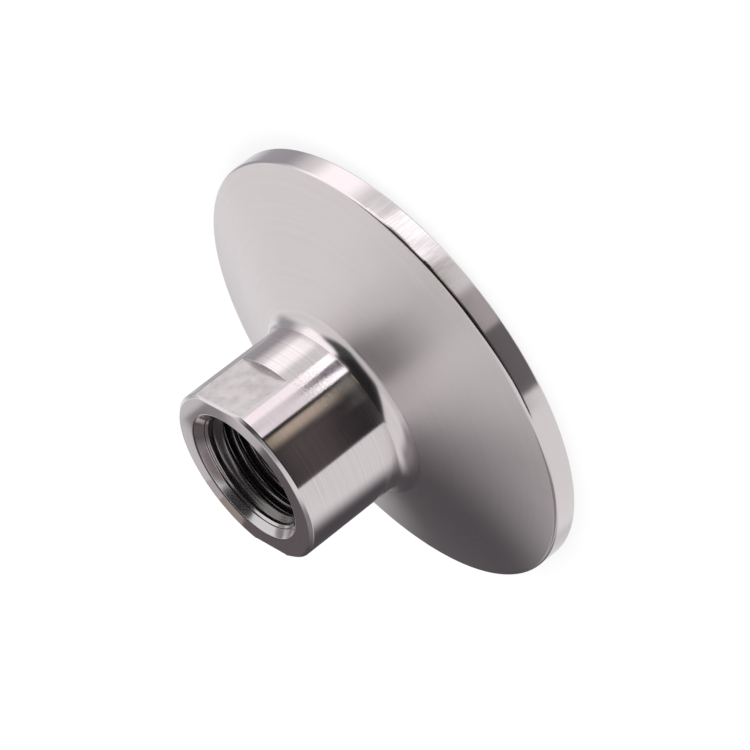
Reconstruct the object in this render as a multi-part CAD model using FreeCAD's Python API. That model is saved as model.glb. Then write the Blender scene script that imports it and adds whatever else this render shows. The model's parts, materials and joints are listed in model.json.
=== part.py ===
"""Sanitary clamp threaded adapter, turned from one bar: a clamp flange with a threaded hub.

Frame: millimetres, +Z along the axis towards the hub's end face.
The origin is the centre of the sealing face, on which the adapter stands.
"""

import os
import FreeCAD, Part
from math import radians, sin, sqrt, tan

# Flange: the rim, the clamp cone and the sealing face
flange_diameter = 50.5      # outside of the rim
rim_thickness = 2.55        # from the sealing face to the sharp corner with the clamp cone
clamp_angle = 20.0          # slope of the clamp cone against the sealing face, degrees
rim_rounding = 0.35         # radius between the rim and the clamp cone
rim_break = 0.10            # bevel between the rim and the sealing face
groove_inset = 3.5          # from the rim to the middle of the gasket groove
groove_radius = 1.6         # radius of the gasket groove's section
groove_depth = 1.45         # depth of the gasket groove below the sealing face

# Pipe thread in the hub, G 1/4: the hole has the diameter of the thread's crests
thread_major = 13.157       # diameter over the thread's roots
thread_height = 0.856       # from root to crest
thread_depth = 13.0         # from the hub's end face to the end of the threaded hole
mouth_lip = 1.0             # how far the mouth bevel stands outside the thread's roots
mouth_angle = 45.0          # slope of the mouth bevel against the axis, degrees

# Passage from the threaded hole to the sealing face
stop_step = 0.7             # step that stops the thread, on the radius
drill_angle = 59.0          # slope of the drilled step against the axis, degrees
passage_break = 0.4         # bevel at the sealing face

# Hub
overall_length = 21.15      # from the sealing face to the hub's end face
hub_wall = 3.32             # wall outside the thread's roots
hub_bevel = 0.35            # bevel round the end face
root_fillet = 2.0           # radius between the clamp cone and the hub

# Two wrench flats, one each side of the hub, facing -Y and +Y
flat_depth = 0.7            # how deep each flat is cut
flat_length = 6.5           # from the hub's end face to the flat's shoulder

# Worked out from the values above
flange_radius = flange_diameter / 2
thread_root_radius = thread_major / 2
hole_radius = thread_root_radius - thread_height
mouth_radius = thread_root_radius + mouth_lip
hub_radius = thread_root_radius + hub_wall
passage_radius = hole_radius - stop_step
flat_distance = hub_radius - flat_depth


def at(r, z):
    """A point of the section, at radius r and height z."""
    return FreeCAD.Vector(r, 0, z)


def rounded_corner(corner, before, after, radius):
    """The arc that rounds a corner of the section, from the side of before to the side of after."""
    towards_before = (before - corner).normalize()
    towards_after = (after - corner).normalize()
    half_angle = towards_before.getAngle(towards_after) / 2
    reach = radius / tan(half_angle)
    middle = (towards_before + towards_after).normalize()
    centre = corner + middle * (radius / sin(half_angle))
    start = corner + towards_before * reach
    end = corner + towards_after * reach
    return Part.Arc(start, centre - middle * radius, end)


def gasket_groove():
    """The round-bottomed groove in the sealing face, as an arc of the section from inside to outside."""
    middle = flange_radius - groove_inset
    centre_drop = groove_radius - groove_depth
    half_width = sqrt(groove_radius ** 2 - centre_drop ** 2)
    return Part.Arc(at(middle - half_width, 0), at(middle, groove_depth), at(middle + half_width, 0))


def section():
    """The closed half section of the adapter, before the flats are cut."""
    cone_height = rim_thickness + (flange_radius - hub_radius) * tan(radians(clamp_angle))
    rim_corner = at(flange_radius, rim_thickness)
    root_corner = at(hub_radius, cone_height)
    rim_low = at(flange_radius, rim_break)
    hub_high = at(hub_radius, overall_length - hub_bevel)
    rim_arc = rounded_corner(rim_corner, rim_low, root_corner, rim_rounding)
    root_arc = rounded_corner(root_corner, rim_corner, hub_high, root_fillet)
    groove = gasket_groove()

    hole_top = overall_length - (mouth_radius - hole_radius) / tan(radians(mouth_angle))
    hole_bottom = overall_length - thread_depth
    step_bottom = hole_bottom - stop_step / tan(radians(drill_angle))

    def side(start, end):
        return Part.LineSegment(start, end)

    edges = [
        side(at(passage_radius + passage_break, 0), groove.StartPoint),
        groove,
        side(groove.EndPoint, at(flange_radius - rim_break, 0)),
        side(at(flange_radius - rim_break, 0), rim_low),
        side(rim_low, rim_arc.StartPoint),
        rim_arc,
        side(rim_arc.EndPoint, root_arc.StartPoint),
        root_arc,
        side(root_arc.EndPoint, hub_high),
        side(hub_high, at(hub_radius - hub_bevel, overall_length)),
        side(at(hub_radius - hub_bevel, overall_length), at(mouth_radius, overall_length)),
        side(at(mouth_radius, overall_length), at(hole_radius, hole_top)),
        side(at(hole_radius, hole_top), at(hole_radius, hole_bottom)),
        side(at(hole_radius, hole_bottom), at(passage_radius, step_bottom)),
        side(at(passage_radius, step_bottom), at(passage_radius, passage_break)),
        side(at(passage_radius, passage_break), at(passage_radius + passage_break, 0)),
    ]
    return Part.Wire([edge.toShape() for edge in edges])


def wrench_flat(direction):
    """The block that cuts one flat, towards -Y or +Y."""
    width = 2 * hub_radius
    block = Part.makeBox(width, hub_radius, flat_length)
    low_y = flat_distance if direction > 0 else -flat_distance - hub_radius
    block.translate(FreeCAD.Vector(-width / 2, low_y, overall_length - flat_length))
    return block


def adapter_body():
    """The turned body with its two milled flats."""
    turned = Part.Face(section()).revolve(FreeCAD.Vector(0, 0, 0), FreeCAD.Vector(0, 0, 1), 360)
    return turned.cut([wrench_flat(-1), wrench_flat(1)]).Solids[0]


os.makedirs("parts", exist_ok=True)
body = adapter_body()
body.exportStep("parts/adapter_body.step")
print("adapter_body", body.ShapeType, round(body.Volume, 1), "mm3, valid", body.isValid())
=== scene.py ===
import json
from math import acos, ceil, cos, degrees, hypot, pi, radians, sin, tan

import bmesh
import bpy
from mathutils import Matrix, Vector

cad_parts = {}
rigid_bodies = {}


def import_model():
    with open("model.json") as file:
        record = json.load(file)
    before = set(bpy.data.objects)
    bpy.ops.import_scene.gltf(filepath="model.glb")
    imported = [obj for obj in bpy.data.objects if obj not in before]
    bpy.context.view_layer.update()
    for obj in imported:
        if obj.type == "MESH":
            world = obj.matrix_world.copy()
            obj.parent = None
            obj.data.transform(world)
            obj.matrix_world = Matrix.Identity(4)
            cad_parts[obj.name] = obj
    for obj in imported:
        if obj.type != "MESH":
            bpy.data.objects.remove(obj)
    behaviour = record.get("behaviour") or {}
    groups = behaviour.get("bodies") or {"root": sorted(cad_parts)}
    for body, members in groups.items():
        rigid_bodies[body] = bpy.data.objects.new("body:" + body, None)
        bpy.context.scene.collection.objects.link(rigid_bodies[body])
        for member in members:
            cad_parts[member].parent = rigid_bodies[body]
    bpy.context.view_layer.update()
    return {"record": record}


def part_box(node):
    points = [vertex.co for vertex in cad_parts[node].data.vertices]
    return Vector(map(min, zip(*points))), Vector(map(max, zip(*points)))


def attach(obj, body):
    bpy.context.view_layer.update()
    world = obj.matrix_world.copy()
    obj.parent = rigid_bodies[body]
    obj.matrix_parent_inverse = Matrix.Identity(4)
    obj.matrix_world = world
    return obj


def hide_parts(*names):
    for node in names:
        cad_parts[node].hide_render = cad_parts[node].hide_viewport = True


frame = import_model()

# A sanitary clamp adapter with a threaded hub, standing on its sealing face.
# Lengths in the dictionaries are in millimetres, the meshes are in metres.

mm = 0.001
mountSizes = {mount["name"]: mount["dims"] for mount in frame["record"]["mounts"]}


# Node helpers

def addNode(tree, kind, values=None, **settings):
    made = tree.nodes.new(kind)
    for name, value in settings.items():
        setattr(made, name, value)
    for key, value in (values or {}).items():
        if isinstance(value, bpy.types.NodeSocket):
            tree.links.new(value, made.inputs[key])
        else:
            made.inputs[key].default_value = value
    return made


def calc(tree, operation, *numbers):
    return addNode(tree, "ShaderNodeMath", dict(enumerate(numbers)), operation=operation).outputs[0]


def ease(tree, value, start, end, low=0.0, high=1.0):   # smooth step from low to high
    values = {"Value": value, "From Min": start, "From Max": end, "To Min": low, "To Max": high}
    return addNode(tree, "ShaderNodeMapRange", values, interpolation_type="SMOOTHSTEP").outputs["Result"]


def blendColours(tree, share, first, second):
    mixer = addNode(tree, "ShaderNodeMix", data_type="RGBA")
    for key, value in ((0, share), (6, first), (7, second)):
        if isinstance(value, bpy.types.NodeSocket):
            tree.links.new(value, mixer.inputs[key])
        else:
            mixer.inputs[key].default_value = value
    return mixer.outputs[2]


def noise(tree, spot, scale, detail):
    values = {"Vector": spot, "Scale": scale, "Detail": detail}
    return addNode(tree, "ShaderNodeTexNoise", values).outputs["Fac"]


def noiseLine(tree, along, pitch):   # lines of uneven height across one measure
    values = {"W": calc(tree, "DIVIDE", along, pitch), "Scale": 1.0, "Detail": 3.0, "Roughness": 0.55}
    return addNode(tree, "ShaderNodeTexNoise", values, noise_dimensions="1D").outputs["Fac"]


def inside(tree, value, limits, soft):   # 1 between two limits, fading to 0 outside them
    low, high = limits
    softLow, softHigh = soft
    overLow = ease(tree, value, low - softLow, low)
    underHigh = ease(tree, value, high + softHigh, high)
    return calc(tree, "MULTIPLY", overLow, underHigh)


# Steel finishes
# cloud: how far the roughness wanders; stretch: how far highlights are drawn out;
# along: what the turning marks are spaced along; lines: their height, spacing (mm) and painted valley shade;
# chatter: faint marks across the turning marks, with painted shade in their valleys,
# round one place and fading out over its reach (mm)

steelTint = (0.630, 0.584, 0.592)
endTint = (0.620, 0.588, 0.594)
# boreShadeTint: steel darkened as painted shade, for the threaded hole, the passage and thin rings at the
# mouth
boreShadeTint = (0.200, 0.186, 0.186)
finishes = {
    "coneSteel": {"tint": steelTint, "roughness": 0.31, "cloud": 0.012, "stretch": 0.70,
                  "along": "radius", "lines": (0.0014, 0.55, 0.03)},
    "rimSteel": {"tint": steelTint, "roughness": 0.13, "cloud": 0.02, "stretch": 0.70,
                 "along": "height", "lines": (0.0006, 0.40, 0.03),
                 "chatter": {"height": 0.0012, "spacing": 0.30, "shortness": 0.12, "darkening": 0.12,
                             "place": (-13.4, -21.4, 1.3), "reach": (3.0, 8.0)}},
    "hubSteel": {"tint": steelTint, "roughness": 0.11, "cloud": 0.01, "stretch": 0.65,
                 "along": "height", "lines": (0.0022, 0.26, 0.10),
                 "chatter": {"height": 0.0028, "spacing": 0.17, "shortness": 0.80, "darkening": 0.16,
                             "place": (-5.6, -8.2, 12.5), "reach": (1.0, 3.8)}},
    "rootSteel": {"tint": steelTint, "roughness": 0.19, "cloud": 0.01, "stretch": 0.50,
                  "along": "height", "lines": (0.0014, 0.30, 0.05)},
    "endSteel": {"tint": endTint, "roughness": 0.14, "cloud": 0.02, "stretch": 0.50,
                 "along": "radius", "lines": (0.0006, 0.30, 0.05)},
    # steel of the threaded hole and passage: its dark tint is painted shade
    "threadSteel": {"tint": boreShadeTint, "roughness": 0.22, "cloud": 0.04, "stretch": 0.50,
                    "along": "height", "lines": (0.0008, 0.25, 0.10)},
    "sealingSteel": {"tint": steelTint, "roughness": 0.18, "cloud": 0.02, "stretch": 0.70,
                     "along": "radius", "lines": (0.0008, 0.40, 0.04)},
}
turning = {
    "patchScale": 0.16,        # patches of clear and faint turning marks, higher is smaller
    "patchLevels": (0.35, 0.65),
    "faintest": 0.35,          # what is left of the marks where they are faint
    "darkLevels": (0.70, 0.30),      # of the marks' height, between which their valleys get painted shade
    "chatterLevels": (0.60, 0.40),   # the same for the chatter's painted shade
    "cloudScale": 0.35,        # patches of smoother and rougher steel
}
cloudLevels = (0.3, 0.7)       # between which a cloudy pattern goes from one extreme to the other
milling = {
    "tint": (0.570, 0.534, 0.534),
    "stain": 0.17,             # how much darker the cloudy patches are
    "cloudScale": 0.9,
    "roughness": (0.28, 0.40),
    "scratch": 0.008,          # depth of the scratches, mm
    "slants": (32.0, -55.0, 8.0),   # degrees from the hub's axis
    "across": 0.13,            # width of a scratch, mm
    "length": 2.2,             # mm
    "apart": 10.0,             # keeps the three slants' patterns different
    "fewness": (0.50, 0.75),   # levels at which a scratch begins and is full
    "bareness": 0.8,           # how far a scratch breaks the stain
}


def startMaterial(name):
    material = bpy.data.materials.new(name)
    material.use_nodes = True
    tree = material.node_tree
    shader = tree.nodes["Principled BSDF"]
    shader.inputs["Metallic"].default_value = 1.0
    place = addNode(tree, "ShaderNodeTexCoord").outputs["Object"]
    spot = addNode(tree, "ShaderNodeVectorMath", {0: place, "Scale": 1 / mm}, operation="SCALE").outputs[0]
    return material, tree, shader, spot


def shadeColour(tree, shader, tint, dark):   # the tint, darkened by a share
    colour = blendColours(tree, dark, tint + (1.0,), (0.0, 0.0, 0.0, 1.0))
    tree.links.new(colour, shader.inputs["Base Color"])


def makeTurnedSteel(name, finish):
    material, tree, shader, spot = startMaterial(name)
    parts = addNode(tree, "ShaderNodeSeparateXYZ", {0: spot}).outputs
    flat = addNode(tree, "ShaderNodeCombineXYZ", {0: parts[0], 1: parts[1]}).outputs[0]
    radius = addNode(tree, "ShaderNodeVectorMath", {0: flat}, operation="LENGTH").outputs["Value"]
    along = radius if finish["along"] == "radius" else parts[2]

    # turning marks run right round, and fade and return slowly
    markHeight, markPitch, markPaintedShade = finish["lines"]
    marks = noiseLine(tree, along, markPitch)
    patches = noise(tree, spot, turning["patchScale"], 1.0)
    fading = ease(tree, patches, *turning["patchLevels"], turning["faintest"], 1.0)
    height = calc(tree, "MULTIPLY", calc(tree, "MULTIPLY", marks, fading), markHeight * mm)
    # painted shade: the colour darkens in the turning marks' valleys, over their real bump
    valleyShadeMask = ease(tree, marks, *turning["darkLevels"])
    dark = calc(tree, "MULTIPLY", calc(tree, "MULTIPLY", valleyShadeMask, fading), markPaintedShade)
    if "chatter" in finish:
        chatter = finish["chatter"]
        nearReach, farReach = chatter["reach"]
        away = addNode(tree, "ShaderNodeVectorMath", {0: spot, 1: chatter["place"]}, operation="DISTANCE")
        patch = ease(tree, away.outputs["Value"], farReach, nearReach)
        fine = 1 / chatter["spacing"]
        shrink = (fine, fine, fine * chatter["shortness"])
        drawn = addNode(tree, "ShaderNodeVectorMath", {0: spot, 1: shrink}, operation="MULTIPLY").outputs[0]
        ripple = noise(tree, drawn, 1.0, 2.0)
        raised = calc(tree, "MULTIPLY", ripple, patch)
        height = calc(tree, "MULTIPLY_ADD", raised, chatter["height"] * mm, height)
        # painted shade: darker streaks in the chatter's valleys, over its real bump
        chatterShadeMask = calc(tree, "MULTIPLY", ease(tree, ripple, *turning["chatterLevels"]), patch)
        dark = calc(tree, "MULTIPLY_ADD", chatterShadeMask, chatter["darkening"], dark)
    bump = addNode(tree, "ShaderNodeBump", {"Strength": 1.0, "Distance": 1.0, "Height": height})
    tree.links.new(bump.outputs[0], shader.inputs["Normal"])

    cloud = noise(tree, spot, turning["cloudScale"], 3.0)
    low, high = finish["roughness"] - finish["cloud"], finish["roughness"] + finish["cloud"]
    tree.links.new(ease(tree, cloud, *cloudLevels, low, high), shader.inputs["Roughness"])
    shadeColour(tree, shader, finish["tint"], dark)
    shader.inputs["Anisotropic"].default_value = finish["stretch"]
    shader.inputs["Anisotropic Rotation"].default_value = 0.25   # highlights run across the marks
    tangent = addNode(tree, "ShaderNodeTangent", direction_type="RADIAL", axis="Z")
    tree.links.new(tangent.outputs[0], shader.inputs["Tangent"])
    return material


def makeMilledSteel(name):
    # the flats: crossed scratches of a worn cutter
    material, tree, shader, spot = startMaterial(name)
    scratches = 0.0
    for number, slant in enumerate(milling["slants"]):
        turned = addNode(tree, "ShaderNodeVectorRotate", {"Vector": spot, "Angle": radians(slant)},
                         rotation_type="Y_AXIS").outputs[0]
        shrink = (1 / milling["across"], 0.0, 1 / milling["length"])
        shift = (0.0, milling["apart"] * number, 0.0)
        drawn = addNode(tree, "ShaderNodeVectorMath", {0: turned, 1: shrink, 2: shift},
                        operation="MULTIPLY_ADD").outputs[0]
        line = ease(tree, noise(tree, drawn, 1.0, 2.0), *milling["fewness"])
        scratches = calc(tree, "MAXIMUM", scratches, line)
    height = calc(tree, "MULTIPLY", scratches, -milling["scratch"] * mm)
    bump = addNode(tree, "ShaderNodeBump", {"Strength": 1.0, "Distance": 1.0, "Height": height})
    tree.links.new(bump.outputs[0], shader.inputs["Normal"])
    smooth, rough = milling["roughness"]
    cloud = noise(tree, spot, milling["cloudScale"], 4.0)
    tree.links.new(ease(tree, cloud, *cloudLevels, smooth, rough), shader.inputs["Roughness"])
    stained = ease(tree, cloud, *cloudLevels, 0.0, milling["stain"])
    bare = calc(tree, "MULTIPLY_ADD", scratches, -milling["bareness"], 1.0)
    shadeColour(tree, shader, milling["tint"], calc(tree, "MULTIPLY", stained, bare))
    return material


# The turned body

adapter = {
    "rimThickness": 2.55,      # to the sharp corner with the clamp cone
    "clampAngle": 20.0,        # slope of the clamp cone, degrees
    "rimRounding": 0.42,
    "rimBreak": 0.10,
    "grooveInset": 3.5,        # from the rim to the middle of the gasket groove
    "grooveRadius": 1.6,
    "grooveDepth": 1.45,
    "rootFillet": 2.0,
    "hubWall": 3.32,           # outside the thread's roots
    "hubBevel": 0.35,
    "flatEdge": 0.06,          # burr broken off the flats' front edge
    "flatEdgeFade": 0.1,       # depth of flat over which that begins
    "flatDepth": 0.7,
    "flatLength": 6.5,
    "passageBreak": 0.4,
    "drillAngle": 59.0,
    "edge": 0.05,              # width over which an edge turns
    "faceRing": 1.2,           # from the mouth to the end face's first round ring
    "flatSteps": 38,           # divisions across one flat
    "hubSteps": 122,           # divisions of the hub between the flats
    "rimSteps": 8,             # divisions of the rim's rounding
    "rootSteps": 16,           # divisions of the root fillet
    "rootKept": 14,            # those before it runs into the hub, at a faint corner
    "rootLast": 0.15,          # share of the last division that turns into the hub
    "grooveSteps": 14,         # divisions of the gasket groove
    "seam": 0.002,             # vertices this close are one
    "sliver": 0.0005,          # edges shorter than this go
}
thread = {
    "pitch": 1.337,
    "height": 0.856,
    "depth": 13.0,             # of the whole threaded hole
    "mouthLip": 1.0,           # mouth bevel outside the thread's roots
    "mouthAngle": 45.0,        # degrees
    "mouthEdge": 0.09,         # its outer edge broken
    "stepLip": 0.22,           # small step below the bevel: outside the roots
    "stepDepth": 0.14,
    "leadIn": 1.4,             # over which the crests rise
    "runout": 1.6,             # over which the thread dies out, in turns
    "phase": 0.96,             # where round the hole the thread starts, in turns
    "flanks": (0.10, 0.90),    # where a flank begins and ends, 0 at the crest and 1 at the root
    "endRelief": 0.2,          # plain stretch at the bottom of the hole
    "rowsPerTurn": 18,
}

lowCorner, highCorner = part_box("adapter_body")
flangeRadius = (highCorner[0] - lowCorner[0]) / 2 / mm
overallLength = highCorner[2] / mm
holeRadius = mountSizes["hub_thread"]["r_mm"]
passageRadius = mountSizes["passage"]["r_mm"]
threadRootRadius = holeRadius + thread["height"]
mouthRadius = threadRootRadius + thread["mouthLip"]
hubRadius = threadRootRadius + adapter["hubWall"]
flatDistance = hubRadius - adapter["flatDepth"]
holeBottom = overallLength - thread["depth"]
mouthSlope = tan(radians(thread["mouthAngle"]))
stepRadius = threadRootRadius + thread["stepLip"]
stepTop = overallLength - (mouthRadius - stepRadius) / mouthSlope
stepBottom = stepTop - thread["stepDepth"]
threadTop = stepBottom - thread["stepLip"] / mouthSlope


def shares(count, length, edge):   # divisions of a side, with one close to each end
    small = edge / length
    return [0.0, small] + [small + (1 - 2 * small) * step / (count - 2) for step in range(1, count - 1)]


def flatHalfAngle(radius):
    return acos(flatDistance / radius)


flatShares = shares(adapter["flatSteps"], 2 * hubRadius * flatHalfAngle(hubRadius), adapter["edge"])
hubShares = shares(adapter["hubSteps"], hubRadius * (pi - 2 * flatHalfAngle(hubRadius)), adapter["edge"])
around = 2 * (len(flatShares) + len(hubShares))
startAngle = -pi / 2 - flatHalfAngle(hubRadius)


def ringAngles(radius, even):
    if even:
        return [startAngle + 2 * pi * step / around for step in range(around)]
    half = flatHalfAngle(radius)
    angles = []
    for middle in (-pi / 2, pi / 2):
        angles += [middle - half + 2 * half * share for share in flatShares]
        angles += [middle + half + (pi - 2 * half) * share for share in hubShares]
    return angles


def ringPoints(ring):
    radius, height, options = ring["radius"], ring["height"], ring["options"]
    cut = options.get("cut", 0.0)          # 1 where the flats are fully cut
    inset = options.get("inset", 0.0)
    flatDrop = options.get("flatDrop", 0.0)
    angles = ringAngles(radius if cut else hubRadius, options.get("even", False))
    points = []
    for angle in angles:
        facing = max(abs(sin(angle)), 0.01)   # towards the nearer flat, never 0
        beyondFlat = max(0.0, radius - flatDistance / facing)
        reach = radius - cut * beyondFlat - inset
        drop = flatDrop * min(1.0, beyondFlat / adapter["flatEdgeFade"])
        points.append(Vector((reach * cos(angle), reach * sin(angle), height - drop)) * mm)
    return points


def roundCorner(corner, before, after, radius, steps):   # arc between two sides, from before to after
    corner, before, after = Vector(corner), Vector(before), Vector(after)
    toBefore, toAfter = (before - corner).normalized(), (after - corner).normalized()
    half = toBefore.angle(toAfter) / 2
    centre = corner + (toBefore + toAfter).normalized() * radius / sin(half)
    start = corner + toBefore * radius / tan(half) - centre
    sweep = start.angle_signed(corner + toAfter * radius / tan(half) - centre)
    points = []
    for step in range(steps + 1):
        turn = -sweep * step / steps
        points.append((centre.x + start.x * cos(turn) - start.y * sin(turn),
                       centre.y + start.x * sin(turn) + start.y * cos(turn)))
    return points


def bodyRings():
    # from the bottom of the threaded hole down the passage, across the sealing face, round the rim,
    # over the clamp cone and up the hub to the mouth
    rings = []
    edge = adapter["edge"]

    def add(radius, height, finish, **options):
        rings.append({"radius": radius, "height": height, "finish": finish, "options": options})

    def run(start, end, finish, **options):   # a straight side with a ring close to each end
        (r0, z0), (r1, z1) = start, end
        small = min(edge / hypot(r1 - r0, z1 - z0), 0.3)
        for share in (0.0, small, 1 - small):
            add(r0 + (r1 - r0) * share, z0 + (z1 - z0) * share, finish, **options)

    drillTip = holeBottom - (holeRadius - passageRadius) / tan(radians(adapter["drillAngle"]))
    passageLow = (passageRadius, adapter["passageBreak"])
    passageEdge = (passageRadius + adapter["passageBreak"], 0.0)
    # the passage takes the dark bore steel: painted shade
    run((holeRadius, holeBottom), (passageRadius, drillTip), "threadSteel", even=True)
    run((passageRadius, drillTip), passageLow, "threadSteel", even=True)
    run(passageLow, passageEdge, "sealingSteel")

    grooveMiddle = flangeRadius - adapter["grooveInset"]
    grooveDrop = adapter["grooveRadius"] - adapter["grooveDepth"]
    grooveTurn = acos(grooveDrop / adapter["grooveRadius"])
    groove = []
    for step in range(adapter["grooveSteps"] + 1):
        turn = grooveTurn * (2 * step / adapter["grooveSteps"] - 1)
        groove.append((grooveMiddle + adapter["grooveRadius"] * sin(turn),
                       adapter["grooveRadius"] * cos(turn) - grooveDrop))
    run(passageEdge, groove[0], "sealingSteel")
    for point in groove[:-1]:
        add(*point, "sealingSteel")
    rimBreakStart = (flangeRadius - adapter["rimBreak"], 0.0)
    rimLow = (flangeRadius, adapter["rimBreak"])
    run(groove[-1], rimBreakStart, "sealingSteel")
    run(rimBreakStart, rimLow, "rimSteel")

    coneTop = adapter["rimThickness"] + (flangeRadius - hubRadius) * tan(radians(adapter["clampAngle"]))
    rimCorner, rootCorner = (flangeRadius, adapter["rimThickness"]), (hubRadius, coneTop)
    shoulder = overallLength - adapter["flatLength"]
    rimArc = roundCorner(rimCorner, rimLow, rootCorner, adapter["rimRounding"], adapter["rimSteps"])
    rootArc = roundCorner(rootCorner, rimCorner, (hubRadius, overallLength), adapter["rootFillet"],
                          adapter["rootSteps"])
    # the fillet runs into the hub a little early, at a faint corner
    rootArc = rootArc[:adapter["rootKept"] + 1]
    excess = (rootArc[-1][0] - hubRadius) / adapter["rootKept"]
    rootArc = [(radius - excess * step, height) for step, (radius, height) in enumerate(rootArc)]
    run(rimLow, rimArc[0], "rimSteel")
    for point in rimArc[:-1]:
        add(*point, "rimSteel")
    run(rimArc[-1], rootArc[0], "coneSteel")
    for point in rootArc[:-1]:
        add(*point, "rootSteel")
    (r0, z0), (r1, z1) = rootArc[-2:]
    share = adapter["rootLast"]
    add(r1 + share * (r0 - r1), z1 + share * (z0 - z1), "rootSteel")
    run(rootArc[-1], (hubRadius, shoulder), "hubSteel")

    # the flats: their shoulder, then the hub with both flats cut away
    shoulderEdge = edge / adapter["flatDepth"]
    for cut in (0.0, shoulderEdge, 1 - shoulderEdge):
        add(hubRadius, shoulder, "millSteel", cut=cut)
    bevelLow = (hubRadius, overallLength - adapter["hubBevel"])
    bevelHigh = (hubRadius - adapter["hubBevel"], overallLength)
    run((hubRadius, shoulder), bevelLow, "hubSteel", cut=1.0)
    flatDrop = adapter["flatEdge"]
    for share, drop in ((0.0, 0.0), (0.15, 0.0), (0.85, flatDrop), (1.0, flatDrop)):
        bevelRadius = bevelLow[0] + (bevelHigh[0] - bevelLow[0]) * share
        add(bevelRadius, bevelLow[1] + adapter["hubBevel"] * share, "endSteel", cut=1.0, flatDrop=drop)
    for inset in (flatDrop, flatDrop + edge):
        add(*bevelHigh, "endSteel", cut=1.0, inset=inset)
    add(mouthRadius + adapter["faceRing"], overallLength, "endSteel")
    mouthEdge = thread["mouthEdge"]
    faceEnd = mouthRadius + mouthEdge
    bevelStart = (mouthRadius - mouthEdge, overallLength - mouthEdge / mouthSlope)
    run((faceEnd + edge, overallLength), (faceEnd, overallLength), "endSteel", even=True)
    # a thin ring of dark bore steel at the mouth's edge: a painted shadow line
    add(mouthRadius + 0.25 * mouthEdge, overallLength - 0.25 * mouthEdge, "threadSteel", even=True)
    run(bevelStart, (stepRadius, stepTop), "endSteel", even=True)
    # the small step's wall in dark bore steel: painted shade
    run((stepRadius, stepTop), (stepRadius, stepBottom), "threadSteel", even=True)
    run((stepRadius, stepBottom), (threadRootRadius, threadTop), "endSteel", even=True)
    add(threadRootRadius, threadTop, "threadSteel", even=True)
    return rings


def makeThreadTree():
    # Geometry Nodes: a grid wrapped into the threaded hole, its rows following the helix
    tree = bpy.data.node_groups.new("threaded hole", "GeometryNodeTree")
    face = tree.interface
    sizes = {"Pitch": thread["pitch"], "Height": thread["height"], "Depth": thread["depth"],
             "Crest Radius": holeRadius, "Top": overallLength,
             "Start Depth": overallLength - threadTop, "Lead In": thread["leadIn"],
             "Start Angle": startAngle, "Phase": thread["phase"], "Runout": thread["runout"]}
    counts = {"Around": around, "Rows per Turn": thread["rowsPerTurn"]}
    for name in sizes:
        face.new_socket(name, in_out="INPUT", socket_type="NodeSocketFloat")
    for name in counts:
        face.new_socket(name, in_out="INPUT", socket_type="NodeSocketInt")
    face.new_socket("Finish", in_out="INPUT", socket_type="NodeSocketMaterial")
    face.new_socket("Geometry", in_out="OUTPUT", socket_type="NodeSocketGeometry")
    given = addNode(tree, "NodeGroupInput").outputs

    deepTurns = calc(tree, "CEIL", calc(tree, "DIVIDE", given["Depth"], given["Pitch"]))
    turns = calc(tree, "ADD", deepTurns, 1.0)
    rows = calc(tree, "MULTIPLY", turns, given["Rows per Turn"])
    grid = addNode(tree, "GeometryNodeMeshGrid", {
        "Size X": 1.0, "Size Y": 1.0,
        "Vertices X": calc(tree, "ADD", given["Around"], 1.0),
        "Vertices Y": calc(tree, "ADD", rows, 1.0)})
    position = addNode(tree, "GeometryNodeInputPosition").outputs[0]
    spot = addNode(tree, "ShaderNodeSeparateXYZ", {0: position}).outputs
    share = calc(tree, "ADD", spot[0], 0.5)
    turn = calc(tree, "MULTIPLY", calc(tree, "ADD", spot[1], 0.5), turns)
    down = calc(tree, "MULTIPLY", calc(tree, "SUBTRACT", turn, share), given["Pitch"])
    down = calc(tree, "MINIMUM", calc(tree, "MAXIMUM", down, given["Start Depth"]), given["Depth"])

    # rounded vee: 0 at the crest, 1 at the root
    part = calc(tree, "FRACT", calc(tree, "ADD", turn, given["Phase"]))
    vee = calc(tree, "SUBTRACT", 1.0, calc(tree, "ABSOLUTE", calc(tree, "MULTIPLY_ADD", part, 2.0, -1.0)))
    cut = ease(tree, vee, *thread["flanks"])
    runout = calc(tree, "MULTIPLY", given["Runout"], given["Pitch"])
    fadeStart = calc(tree, "SUBTRACT", given["Depth"], runout)
    fadeEnd = calc(tree, "SUBTRACT", given["Depth"], thread["endRelief"])
    fade = ease(tree, down, fadeStart, fadeEnd, 1.0, 0.0)
    leadEnd = calc(tree, "ADD", given["Start Depth"], given["Lead In"])
    opening = ease(tree, down, given["Start Depth"], leadEnd, 1.0, 0.0)
    crest = calc(tree, "SUBTRACT", 1.0, calc(tree, "MULTIPLY", cut, fade))
    grooved = calc(tree, "MULTIPLY_ADD", crest, calc(tree, "SUBTRACT", opening, 1.0), 1.0)
    radius = calc(tree, "MULTIPLY_ADD", grooved, given["Height"], given["Crest Radius"])
    reach = calc(tree, "MULTIPLY", radius, mm)

    angle = calc(tree, "MULTIPLY_ADD", share, 2 * pi, given["Start Angle"])
    height = calc(tree, "MULTIPLY", calc(tree, "SUBTRACT", given["Top"], down), mm)
    x = calc(tree, "MULTIPLY", reach, calc(tree, "COSINE", angle))
    y = calc(tree, "MULTIPLY", reach, calc(tree, "SINE", angle))
    wrapped = addNode(tree, "ShaderNodeCombineXYZ", {0: x, 1: y, 2: height}).outputs[0]
    shaped = addNode(tree, "GeometryNodeSetPosition",
                     {"Geometry": grid.outputs["Mesh"], "Position": wrapped}).outputs[0]
    merged = addNode(tree, "GeometryNodeMergeByDistance",
                     {"Geometry": shaped, "Distance": 0.001 * mm}).outputs[0]
    whole = addNode(tree, "GeometryNodeRealizeInstances", {"Geometry": merged}).outputs[0]
    finished = addNode(tree, "GeometryNodeSetMaterial",
                       {"Geometry": whole, "Material": given["Finish"]}).outputs[0]
    addNode(tree, "NodeGroupOutput", {0: finished})
    return tree, sizes, counts


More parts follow.
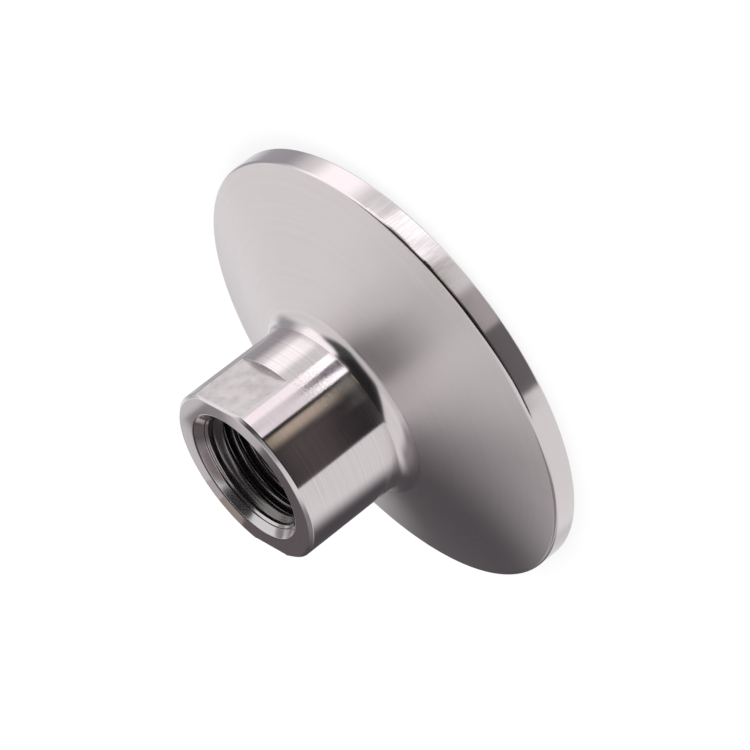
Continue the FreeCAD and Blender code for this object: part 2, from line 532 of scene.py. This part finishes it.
def makeThreadMesh(material):
    tree, sizes, counts = makeThreadTree()
    carrier = bpy.data.objects.new("thread carrier", bpy.data.meshes.new("thread carrier"))
    bpy.context.collection.objects.link(carrier)
    modifier = carrier.modifiers.new("thread", "NODES")
    modifier.node_group = tree
    sockets = {item.name: item.identifier for item in tree.interface.items_tree if item.in_out == "INPUT"}
    for name, value in list(sizes.items()) + list(counts.items()) + [("Finish", material)]:
        modifier[sockets[name]] = value
    depsgraph = bpy.context.evaluated_depsgraph_get()
    mesh = bpy.data.meshes.new_from_object(carrier.evaluated_get(depsgraph))
    bpy.data.objects.remove(carrier)
    return mesh


def makeBody(steel):
    names = list(steel)
    rings = bodyRings()
    shell = bmesh.new()
    made = [[shell.verts.new(point) for point in ringPoints(ring)] for ring in rings]
    flatColumns = set(range(len(flatShares))) | set(range(around // 2, around // 2 + len(flatShares)))
    for ring, lower, upper in zip(rings, made, made[1:]):
        onHub = ring["options"].get("cut") == 1.0 and ring["finish"] == "hubSteel"
        for column in range(around):
            after = (column + 1) % around
            corners = (lower[column], lower[after], upper[after], upper[column])
            finish = "millSteel" if onHub and column in flatColumns else ring["finish"]
            shell.faces.new(corners).material_index = names.index(finish)
    bodyFaces = len(shell.faces)

    # the thread takes the dark bore steel: painted shade in the hole
    shell.from_mesh(makeThreadMesh(steel["threadSteel"]))
    shell.faces.ensure_lookup_table()
    for part in shell.faces[bodyFaces:]:
        part.material_index = names.index("threadSteel")
    bmesh.ops.remove_doubles(shell, verts=shell.verts, dist=adapter["seam"] * mm)
    bmesh.ops.dissolve_degenerate(shell, edges=shell.edges, dist=adapter["sliver"] * mm)
    bmesh.ops.recalc_face_normals(shell, faces=shell.faces)
    for part in shell.faces:
        part.smooth = True
    openEdges = sum(1 for seam in shell.edges if not seam.is_manifold)
    print("adapter body:", len(shell.faces), "faces,", openEdges, "open edges")

    mesh = bpy.data.meshes.new("adapterBody")
    shell.to_mesh(mesh)
    shell.free()
    for name in names:
        mesh.materials.append(steel[name])
    body = bpy.data.objects.new("adapterBody", mesh)
    bpy.context.collection.objects.link(body)
    return body


# Studio: a pale floor, and a white tent with grey and bright panels that only the metal sees

studio = {
    "floorShadow": 0.30,       # how much of the floor's white can be shaded away
    "floorReach": 4.0,         # metres
    "floorDrop": 0.02,         # below the sealing face, mm
    "lampPower": 1.2,          # watts
    "lampSize": 0.5,           # metres, as its place
    "lampPlace": (-0.25, 0.45, 0.75),
}

# Panels far away, by direction from the part in degrees: azimuth from +X towards +Y, and height as elevation;
# lean: how far they move round for each degree of elevation. Each fades out over its soft edges, and later
# ones lie over earlier ones.
tentPanels = {
    "ceiling": {"azimuth": (-180, 180), "azimuthSoft": (1, 1), "lean": 0, "height": (72, 90),
                "heightSoft": (14, 1), "glow": (0.86, 0.86, 0.86)},
    "behindGrey": {"azimuth": (80, 114), "azimuthSoft": (12, 26), "lean": 0, "height": (20, 52),
                   "heightSoft": (24, 16), "glow": (0.33, 0.31, 0.32)},
    "faceGrey": {"azimuth": (36, 56), "azimuthSoft": (4, 10), "lean": 0, "height": (14, 28),
                 "heightSoft": (6, 12), "glow": (0.76, 0.73, 0.75)},
    "cameraSide": {"azimuth": (176, 262), "azimuthSoft": (6, 6), "lean": 0.45, "height": (-10, 60),
                   "heightSoft": (4, 16), "glow": (0.010, 0.010, 0.010)},
    "overSide": {"azimuth": (262, 290), "azimuthSoft": (10, 16), "lean": 0, "height": (30, 54),
                 "heightSoft": (14, 14), "glow": (0.06, 0.06, 0.06)},
    "lowDark": {"azimuth": (171, 204), "azimuthSoft": (3, 3), "lean": 0, "height": (-90, -19),
                "heightSoft": (1, 6), "glow": (0.20, 0.19, 0.20)},
    "lowGrey": {"azimuth": (206, 222), "azimuthSoft": (3, 6), "lean": 0, "height": (-90, -19),
                "heightSoft": (1, 6), "glow": (0.58, 0.55, 0.55)},
    "firstStrip": {"azimuth": (244, 256), "azimuthSoft": (3, 6), "lean": 0, "height": (-90, -16),
                   "heightSoft": (1, 5), "glow": (1.45, 1.42, 1.45)},
    "whiteStrip": {"azimuth": (257, 272), "azimuthSoft": (3, 3), "lean": 0, "height": (-90, -14),
                   "heightSoft": (1, 5), "glow": (1.90, 1.90, 1.90)},
    "secondStrip": {"azimuth": (300, 314), "azimuthSoft": (12, 13), "lean": 0, "height": (-90, 20),
                    "heightSoft": (1, 10), "glow": (1.62, 1.58, 1.60)},
    "stripSide": {"azimuth": (276, 302), "azimuthSoft": (10, 2), "lean": 0, "height": (-13, 14),
                  "heightSoft": (4, 10), "glow": (1.65, 1.62, 1.65)},
    "grazingSide": {"azimuth": (16, 74), "azimuthSoft": (10, 14), "lean": 0, "height": (-90, -12),
                    "heightSoft": (1, 5), "glow": (0.76, 0.75, 0.77)},
    "dullSide": {"azimuth": (345, 364), "azimuthSoft": (20, 18), "lean": 0, "height": (-90, 4),
                 "heightSoft": (1, 18), "glow": (0.46, 0.45, 0.48)},
}
# Panels close round the flange, the later ones in front: radius they stand at in mm, azimuth in degrees,
# height in mm above the sealing face, lean: degrees that each side edge moves round for each mm of height
nearPanels = {
    "blackPanel": {"radius": 60.0, "azimuth": (176, 240), "azimuthSoft": (4.0, 0.8), "lean": (0, 0),
                   "height": (-12.6, 9), "heightSoft": (0, 3), "glow": (0.012, 0.012, 0.013)},
    "paperPanel": {"radius": 59.8, "azimuth": (241, 270), "azimuthSoft": (0.6, 2.5), "lean": (0, 0),
                   "height": (-12.6, 1.5), "heightSoft": (0, 1.5), "glow": (1.10, 1.04, 1.08)},
    "pinkPanel": {"radius": 59.6, "azimuth": (261, 269), "azimuthSoft": (5, 1.5), "lean": (0, 0),
                  "height": (-8, 1.5), "heightSoft": (1, 1.5), "glow": (1.48, 1.38, 1.45)},
    "whitePanel": {"radius": 59.4, "azimuth": (241, 269.5), "azimuthSoft": (0.6, 1.0), "lean": (0, 0),
                   "height": (-12.6, -8.4), "heightSoft": (0, 1.6), "glow": (2.1, 2.1, 2.1)},
    "rootPaper": {"radius": 59.3, "azimuth": (264, 298), "azimuthSoft": (4, 16), "lean": (0, 0),
                  "height": (4, 20), "heightSoft": (1.5, 8), "glow": (1.55, 1.52, 1.55)},
    "rootEdge": {"radius": 59.3, "azimuth": (241, 259), "azimuthSoft": (0.6, 2), "lean": (0, 0),
                 "height": (4, 8), "heightSoft": (1.5, 3), "glow": (1.50, 1.46, 1.50)},
    "rootWedge": {"radius": 59.25, "azimuth": (247.5, 257), "azimuthSoft": (1, 1), "lean": (0, 0),
                  "height": (4, 8), "heightSoft": (1.5, 3), "glow": (0.12, 0.11, 0.13)},
    "wedgePanel": {"radius": 59.2, "azimuth": (259.8, 254.0), "azimuthSoft": (0.8, 0.8),
                   "lean": (1.08, -0.42), "height": (-12.6, -7.2), "heightSoft": (0, 1.0),
                   "glow": (0.20, 0.18, 0.22)},
    "brownPanel": {"radius": 59.0, "azimuth": (230.5, 233.5), "azimuthSoft": (15, 4), "lean": (0, 0),
                   "height": (-7.0, 1.5), "heightSoft": (2.2, 1), "glow": (0.66, 0.56, 0.45)},
    "duskPanel": {"radius": 58.8, "azimuth": (176, 214), "azimuthSoft": (4, 13), "lean": (0, 0),
                  "height": (-3.5, 1.5), "heightSoft": (5.0, 1), "glow": (0.121, 0.103, 0.105)},
    "greenPanel": {"radius": 58.6, "azimuth": (230, 237), "azimuthSoft": (3, 1), "lean": (0, 0),
                   "height": (-12.6, -9), "heightSoft": (0, 1.5), "glow": (0.15, 0.16, 0.14)},
    "paleSide": {"radius": 60.0, "azimuth": (8, 58), "azimuthSoft": (7, 6), "lean": (0, 0),
                 "height": (-12.6, -3.5), "heightSoft": (0, 3), "glow": (0.48, 0.47, 0.50)},
    "lowBackPanel": {"radius": 60.0, "azimuth": (76, 97), "azimuthSoft": (14, 40), "lean": (0, 1.0),
                     "height": (-16, 1), "heightSoft": (0, 2), "glow": (0.125, 0.115, 0.128)},
    "backPanel": {"radius": 34.0, "azimuth": (76, 98), "azimuthSoft": (30, 40), "lean": (-0.5, -0.46),
                  "height": (-1, 54), "heightSoft": (0, 46), "glow": (0.095, 0.088, 0.095)},
}
# Flat cards beyond the hub's face: corners across and up, in mm, on a plane at a distance from the hub's axis
faceCards = {
    "faceCard": {"distance": 14.0, "glow": (0.15, 0.13, 0.14),
                 "corners": [(-1.4, 33.0), (-1.4, 29.5), (3.6, 23.4), (4.2, 22.0), (14.0, 22.0),
                             (14.0, 33.0)]},
    "brownCard": {"distance": 14.1, "glow": (0.40, 0.34, 0.31),
                  "corners": [(0.4, 21.5), (5.0, 21.5), (5.0, 24.0), (0.2, 24.0)]},
    "paleCard": {"distance": 14.2, "glow": (0.56, 0.52, 0.53),
                 "corners": [(-2.4, 21.5), (0.6, 21.5), (0.6, 24.0), (-1.8, 24.0)]},
    "holeCard": {"distance": 14.3, "glow": (0.30, 0.28, 0.29),
                 "corners": [(-8.6, 25.4), (-4.0, 24.9), (-2.2, 24.6), (-2.2, 27.5), (-8.6, 30.6)]},
}
faceCardAzimuth = 39.0         # degrees, opposite the camera
# Small round cards over the mouth: centre and reach either way, mm
mouthCards = {
    "blackCard": {"centre": (4.1, 1.1, 30.0), "reach": (2.0, 1.9), "glow": (0.03, 0.03, 0.03)},
    "duskCard": {"centre": (1.0, 5.6, 30.1), "reach": (2.1, 3.8), "glow": (0.24, 0.20, 0.21)},
    "boreCard": {"centre": (7.4, 5.6, 33.0), "reach": (3.4, 3.2), "glow": (0.05, 0.05, 0.05)},
}
mouthCardSides = 24


def insideAzimuth(tree, azimuth, panel):
    middle = sum(panel["azimuth"]) / 2
    away = calc(tree, "WRAP", calc(tree, "SUBTRACT", azimuth, middle), 180.0, -180.0)
    half = panel["azimuth"][1] - middle
    return inside(tree, away, (-half, half), panel["azimuthSoft"])


def makeWorld():
    world = bpy.data.worlds.new("studio tent")
    bpy.context.scene.world = world
    world.use_nodes = True
    tree = world.node_tree
    tree.nodes.clear()
    ray = addNode(tree, "ShaderNodeTexCoord").outputs["Generated"]
    parts = addNode(tree, "ShaderNodeSeparateXYZ", {0: ray}).outputs
    azimuth = calc(tree, "DEGREES", calc(tree, "ARCTAN2", parts[1], parts[0]))
    elevation = calc(tree, "DEGREES", calc(tree, "ARCSINE", parts[2]))
    tone = (1.0, 1.0, 1.0, 1.0)
    for panel in tentPanels.values():
        leant = calc(tree, "MULTIPLY_ADD", calc(tree, "MAXIMUM", elevation, 0.0), -panel["lean"], azimuth)
        share = calc(tree, "MULTIPLY", insideAzimuth(tree, leant, panel),
                     inside(tree, elevation, panel["height"], panel["heightSoft"]))
        tone = blendColours(tree, share, tone, panel["glow"] + (1.0,))
    path = addNode(tree, "ShaderNodeLightPath").outputs
    shiny = calc(tree, "MAXIMUM", path["Is Glossy Ray"], path["Is Transmission Ray"])
    colour = blendColours(tree, shiny, (1.0, 1.0, 1.0, 1.0), tone)
    background = addNode(tree, "ShaderNodeBackground", {"Color": colour, "Strength": 1.0})
    addNode(tree, "ShaderNodeOutputWorld", {"Surface": background.outputs[0]})


def makeCard(name, points, faces, glow):   # a reflection card, seen by shiny metal only
    mesh = bpy.data.meshes.new(name)
    mesh.from_pydata([Vector(point) * mm for point in points], [], faces)
    card = bpy.data.objects.new(name, mesh)
    bpy.context.collection.objects.link(card)
    material = bpy.data.materials.new(name)
    material.use_nodes = True
    tree = material.node_tree
    tree.nodes.clear()
    shade = addNode(tree, "ShaderNodeEmission", {"Color": glow + (1.0,), "Strength": 1.0}).outputs[0]
    end = addNode(tree, "ShaderNodeOutputMaterial", {"Surface": shade})
    mesh.materials.append(material)
    card.visible_camera = False
    card.visible_diffuse = False
    card.visible_transmission = False
    card.visible_shadow = False
    return tree, shade, end


def makeNearPanel(name, panel):
    radius = panel["radius"]
    low, high = panel["height"]
    softLow, softHigh = panel["heightSoft"]
    bottom, top = low - softLow, high + softHigh
    first, last = panel["azimuth"]
    softFirst, softLast = panel["azimuthSoft"]
    leanFirst, leanLast = panel["lean"]
    start = radians(first - softFirst + min(leanFirst * bottom, leanFirst * top))
    end = radians(last + softLast + max(leanLast * bottom, leanLast * top))
    steps = ceil(degrees(end - start))
    points, faces = [], []
    for step in range(steps + 1):
        angle = start + (end - start) * step / steps
        points += [(radius * cos(angle), radius * sin(angle), height) for height in (bottom, top)]
        if step:
            faces.append((2 * step - 2, 2 * step, 2 * step + 1, 2 * step - 1))
    tree, shade, output = makeCard(name, points, faces, panel["glow"])
    place = addNode(tree, "ShaderNodeTexCoord").outputs["Object"]
    parts = addNode(tree, "ShaderNodeSeparateXYZ", {0: place}).outputs
    height = calc(tree, "DIVIDE", parts[2], mm)
    azimuth = calc(tree, "DEGREES", calc(tree, "ARCTAN2", parts[1], parts[0]))
    azimuth = calc(tree, "WRAP", azimuth, 360.0, 0.0)
    solid = ease(tree, height, top, high)
    if softLow:
        solid = calc(tree, "MULTIPLY", solid, ease(tree, height, bottom, low))
    for edge, soft, lean in ((first, -softFirst, leanFirst), (last, softLast, leanLast)):
        upright = calc(tree, "MULTIPLY_ADD", height, -lean, azimuth)
        solid = calc(tree, "MULTIPLY", solid, ease(tree, upright, edge + soft, edge))
    clear = addNode(tree, "ShaderNodeBsdfTransparent").outputs[0]
    mixed = addNode(tree, "ShaderNodeMixShader", {0: solid, 1: clear, 2: shade}).outputs[0]
    tree.links.new(mixed, output.inputs["Surface"])


def makeFaceCard(name, card):
    angle = radians(faceCardAzimuth)
    points = []
    for across, height in card["corners"]:
        points.append((card["distance"] * cos(angle) - across * sin(angle),
                       card["distance"] * sin(angle) + across * cos(angle), height))
    makeCard(name, points, [tuple(range(len(points)))], card["glow"])


def makeMouthCard(name, card):
    x, y, z = card["centre"]
    across, along = card["reach"]
    turns = [2 * pi * step / mouthCardSides for step in range(mouthCardSides)]
    points = [(x + across * cos(turn), y + along * sin(turn), z) for turn in turns]
    makeCard(name, points, [tuple(range(len(points)))], card["glow"])


def makeFloor():
    reach = studio["floorReach"] / 2
    height = -studio["floorDrop"] * mm
    corners = [(x * reach, y * reach, height) for x, y in ((-1, -1), (1, -1), (1, 1), (-1, 1))]
    mesh = bpy.data.meshes.new("floor")
    mesh.from_pydata(corners, [], [(0, 1, 2, 3)])
    floor = bpy.data.objects.new("floor", mesh)
    bpy.context.collection.objects.link(floor)
    floor.visible_glossy = False
    material = bpy.data.materials.new("pale floor")
    material.use_nodes = True
    tree = material.node_tree
    tree.nodes.clear()
    shade = studio["floorShadow"]
    lit = addNode(tree, "ShaderNodeBsdfDiffuse", {"Color": (shade, shade, shade, 1.0)})
    path = addNode(tree, "ShaderNodeLightPath").outputs
    strength = calc(tree, "MULTIPLY", path["Is Camera Ray"], 1.0 - shade)
    glow = addNode(tree, "ShaderNodeEmission", {"Color": (1.0, 1.0, 1.0, 1.0), "Strength": strength})
    both = addNode(tree, "ShaderNodeAddShader", {0: lit.outputs[0], 1: glow.outputs[0]})
    addNode(tree, "ShaderNodeOutputMaterial", {"Surface": both.outputs[0]})
    mesh.materials.append(material)


def makeLamp():
    light = bpy.data.lights.new("soft lamp", "AREA")
    light.size = studio["lampSize"]
    light.energy = studio["lampPower"]
    lamp = bpy.data.objects.new("soft lamp", light)
    lamp.location = studio["lampPlace"]
    lamp.rotation_euler = (-Vector(studio["lampPlace"])).to_track_quat("-Z", "Y").to_euler()
    lamp.visible_glossy = False
    bpy.context.collection.objects.link(lamp)


# Camera: a long lens above the flange's edge, turned so that the hub points down to the left

camera = {
    "azimuth": -50.997,        # degrees, 0 looks along +Y
    "elevation": 23.059,       # degrees above the sealing face
    "turn": -127.736,          # about the line of sight, degrees
    "distance": 379.86,        # mm from the aim point
    "aim": (0.938, 0.641, 2.660),
    "lens": 179.78,            # mm, as the sensor's width
    "sensor": 36.0,
}


def makeCamera():
    lens = bpy.data.cameras.new("camera")
    lens.lens = camera["lens"]
    lens.sensor_width = camera["sensor"]
    lens.clip_start, lens.clip_end = 0.05, 20.0
    azimuth, elevation = radians(camera["azimuth"]), radians(camera["elevation"])
    back = Vector((sin(azimuth) * cos(elevation), -cos(azimuth) * cos(elevation), sin(elevation)))
    level = Vector((0, 0, 1)).cross(back).normalized()
    upright = back.cross(level)
    turn = radians(camera["turn"])
    right = level * cos(turn) + upright * sin(turn)
    up = back.cross(right)
    place = (Vector(camera["aim"]) + back * camera["distance"]) * mm
    eye = bpy.data.objects.new("camera", lens)
    eye.matrix_world = Matrix((
        (right.x, up.x, back.x, place.x), (right.y, up.y, back.y, place.y),
        (right.z, up.z, back.z, place.z), (0, 0, 0, 1)))
    bpy.context.collection.objects.link(eye)
    bpy.context.scene.camera = eye


makeCamera()
print("camera set")
steel = {name: makeTurnedSteel(name, finish) for name, finish in finishes.items()}
steel["millSteel"] = makeMilledSteel("millSteel")
print("steel finishes made")
body = makeBody(steel)
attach(body, "root")
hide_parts("adapter_body")
print("adapter body made")
makeFloor()
makeWorld()
makeLamp()
for name, panel in nearPanels.items():
    makeNearPanel(name, panel)
for name, card in faceCards.items():
    makeFaceCard(name, card)
for name, card in mouthCards.items():
    makeMouthCard(name, card)
bpy.context.scene.view_settings.view_transform = "Standard"
print("studio set")
